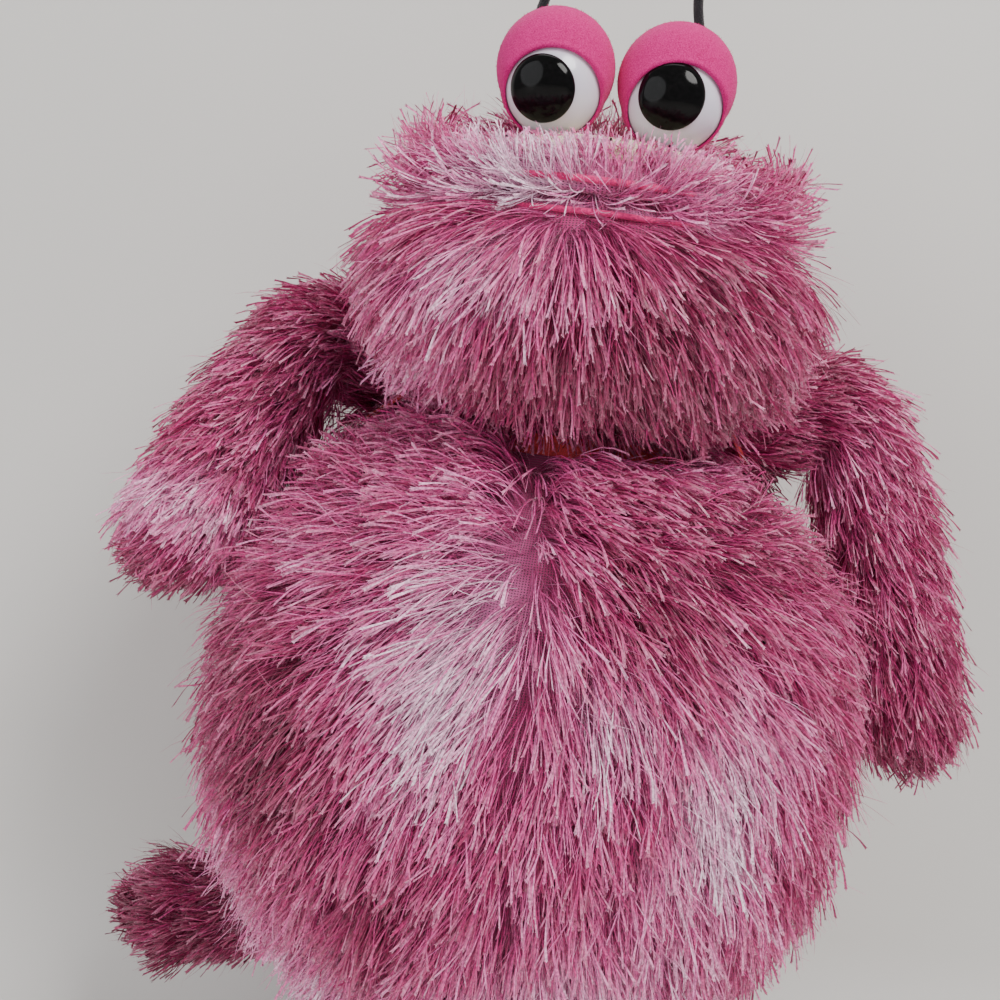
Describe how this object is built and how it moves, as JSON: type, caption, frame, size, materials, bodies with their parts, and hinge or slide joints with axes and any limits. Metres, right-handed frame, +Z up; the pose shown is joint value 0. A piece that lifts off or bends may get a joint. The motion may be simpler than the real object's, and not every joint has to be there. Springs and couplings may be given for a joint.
{
  "type": "moving mouth puppet",
  "caption": "Round-bodied furry monster hand puppet with a hinged mouth, big lidded eyes, thin antennae, short arms and legs, and a hand sleeve from the base up to the jaws.",
  "frame": {"origin": "middle of the hand opening in the base", "axes": "+Z up along the hand sleeve, -Y the way the puppet faces, +X its own left"},
  "size_m": [0.3094, 0.1673, 0.4547],
  "materials": {
    "fur_body": "long brushed eyelash pile, tie-dyed pink to magenta",
    "fur_head": "long brushed eyelash pile, tie-dyed pink to magenta",
    "fur_limb": "long brushed eyelash pile, tie-dyed pink to magenta",
    "lilac_knit": "open knitted backing",
    "fibre_fill": "loose polyester fibre",
    "foam": "open-cell foam sheet",
    "lining": "plain woven lining",
    "felt": "matte felt",
    "board": "stiff fibreboard",
    "coral_tape": "woven binding tape",
    "eye_white": "glossy",
    "pupil_black": "glossy",
    "flocked_lid": "flocked",
    "nylon": "satin",
    "black_velvet": "short velvet pile over a bendable core"
  },
  "bodies": {
    "torso": {"torso_front_skin": "fur_body", "torso_back_skin": "fur_body", "torso_front_stuffing": "fibre_fill", "torso_back_stuffing": "fibre_fill", "hand_sleeve": "lining", "hand_opening_binding": "coral_tape", "base_gusset": "lilac_knit", "shoulder_yoke_skin": "fur_body", "shoulder_yoke_stuffing": "fibre_fill"},
    "neck": {"neck_band": "coral_tape"},
    "head": {"neck_sleeve": "lining", "head_back_skin": "fur_head", "head_back_foam": "foam", "crown_skin": "fur_head", "nape_skin": "fur_head", "mouth_hinge_roll": "felt"},
    "upper_jaw": {"upper_mouth_lining": "felt", "upper_mouth_board": "board", "finger_pocket": "lining", "upper_jaw_skin": "fur_head", "upper_jaw_foam": "foam", "eyeball_left": "eye_white", "pupil_left": "pupil_black", "eyelid_left": "flocked_lid", "eye_shank_left": "nylon", "eye_washer_left": "nylon", "antenna_base_left": "black_velvet", "eyeball_right": "eye_white", "pupil_right": "pupil_black", "eyelid_right": "flocked_lid", "eye_shank_right": "nylon", "eye_washer_right": "nylon", "antenna_base_right": "black_velvet"},
    "lower_jaw": {"lower_mouth_lining": "felt", "lower_mouth_board": "board", "thumb_pocket": "lining", "lower_jaw_skin": "fur_head", "lower_jaw_stuffing": "fibre_fill"},
    "antenna_left": {"antenna_left": "black_velvet"},
    "arm_left": {"arm_left_skin": "fur_limb", "arm_left_stuffing": "fibre_fill", "armhole_tape_left": "coral_tape"},
    "leg_left": {"leg_left_skin": "fur_limb", "leg_left_stuffing": "fibre_fill"},
    "antenna_right": {"antenna_right": "black_velvet"},
    "arm_right": {"arm_right_skin": "fur_limb", "arm_right_stuffing": "fibre_fill", "armhole_tape_right": "coral_tape"},
    "leg_right": {"leg_right_skin": "fur_limb", "leg_right_stuffing": "fibre_fill"}
  },
  "joints": [
    {"name": "head_turn", "type": "hinge", "parent": "torso", "child": "neck", "pos_m": [0, 0, 0.205], "axis": [0, 0, 1], "range_deg": [-15, 15]},
    {"name": "head_nod", "type": "hinge", "parent": "neck", "child": "head", "pos_m": [0, 0, 0.212], "axis": [1, 0, 0], "range_deg": [-10, 8], "deforming": ["neck_sleeve", "nape_skin"]},
    {"name": "upper_jaw_lift", "type": "hinge", "parent": "head", "child": "upper_jaw", "pos_m": [0, 0.016, 0.2848], "axis": [-1, 0, 0], "range_deg": [0, 40], "deforming": ["crown_skin"]},
    {"name": "lower_jaw_drop", "type": "hinge", "parent": "head", "child": "lower_jaw", "pos_m": [0, 0.016, 0.2848], "axis": [1, 0, 0], "range_deg": [0, 8]},
    {"name": "antenna_left_bend", "type": "hinge", "parent": "upper_jaw", "child": "antenna_left", "pos_m": [0.0275, -0.014, 0.324], "axis": [1, 0, 0], "range_deg": [-20, 20]},
    {"name": "antenna_right_bend", "type": "hinge", "parent": "upper_jaw", "child": "antenna_right", "pos_m": [-0.0275, -0.014, 0.324], "axis": [1, 0, 0], "range_deg": [-20, 20]},
    {"name": "arm_left_raise", "type": "hinge", "parent": "torso", "child": "arm_left", "pos_m": [0.063, 0.046, 0.216], "axis": [0, -1, 0], "range_deg": [0, 25]},
    {"name": "arm_right_raise", "type": "hinge", "parent": "torso", "child": "arm_right", "pos_m": [-0.063, 0.046, 0.216], "axis": [0, 1, 0], "range_deg": [0, 25]},
    {"name": "leg_left_raise", "type": "hinge", "parent": "torso", "child": "leg_left", "pos_m": [0.062, 0.044, 0.018], "axis": [0, -1, 0], "range_deg": [0, 35]},
    {"name": "leg_right_raise", "type": "hinge", "parent": "torso", "child": "leg_right", "pos_m": [-0.062, 0.044, 0.018], "axis": [0, 1, 0], "range_deg": [-20, 4]}
  ]
}
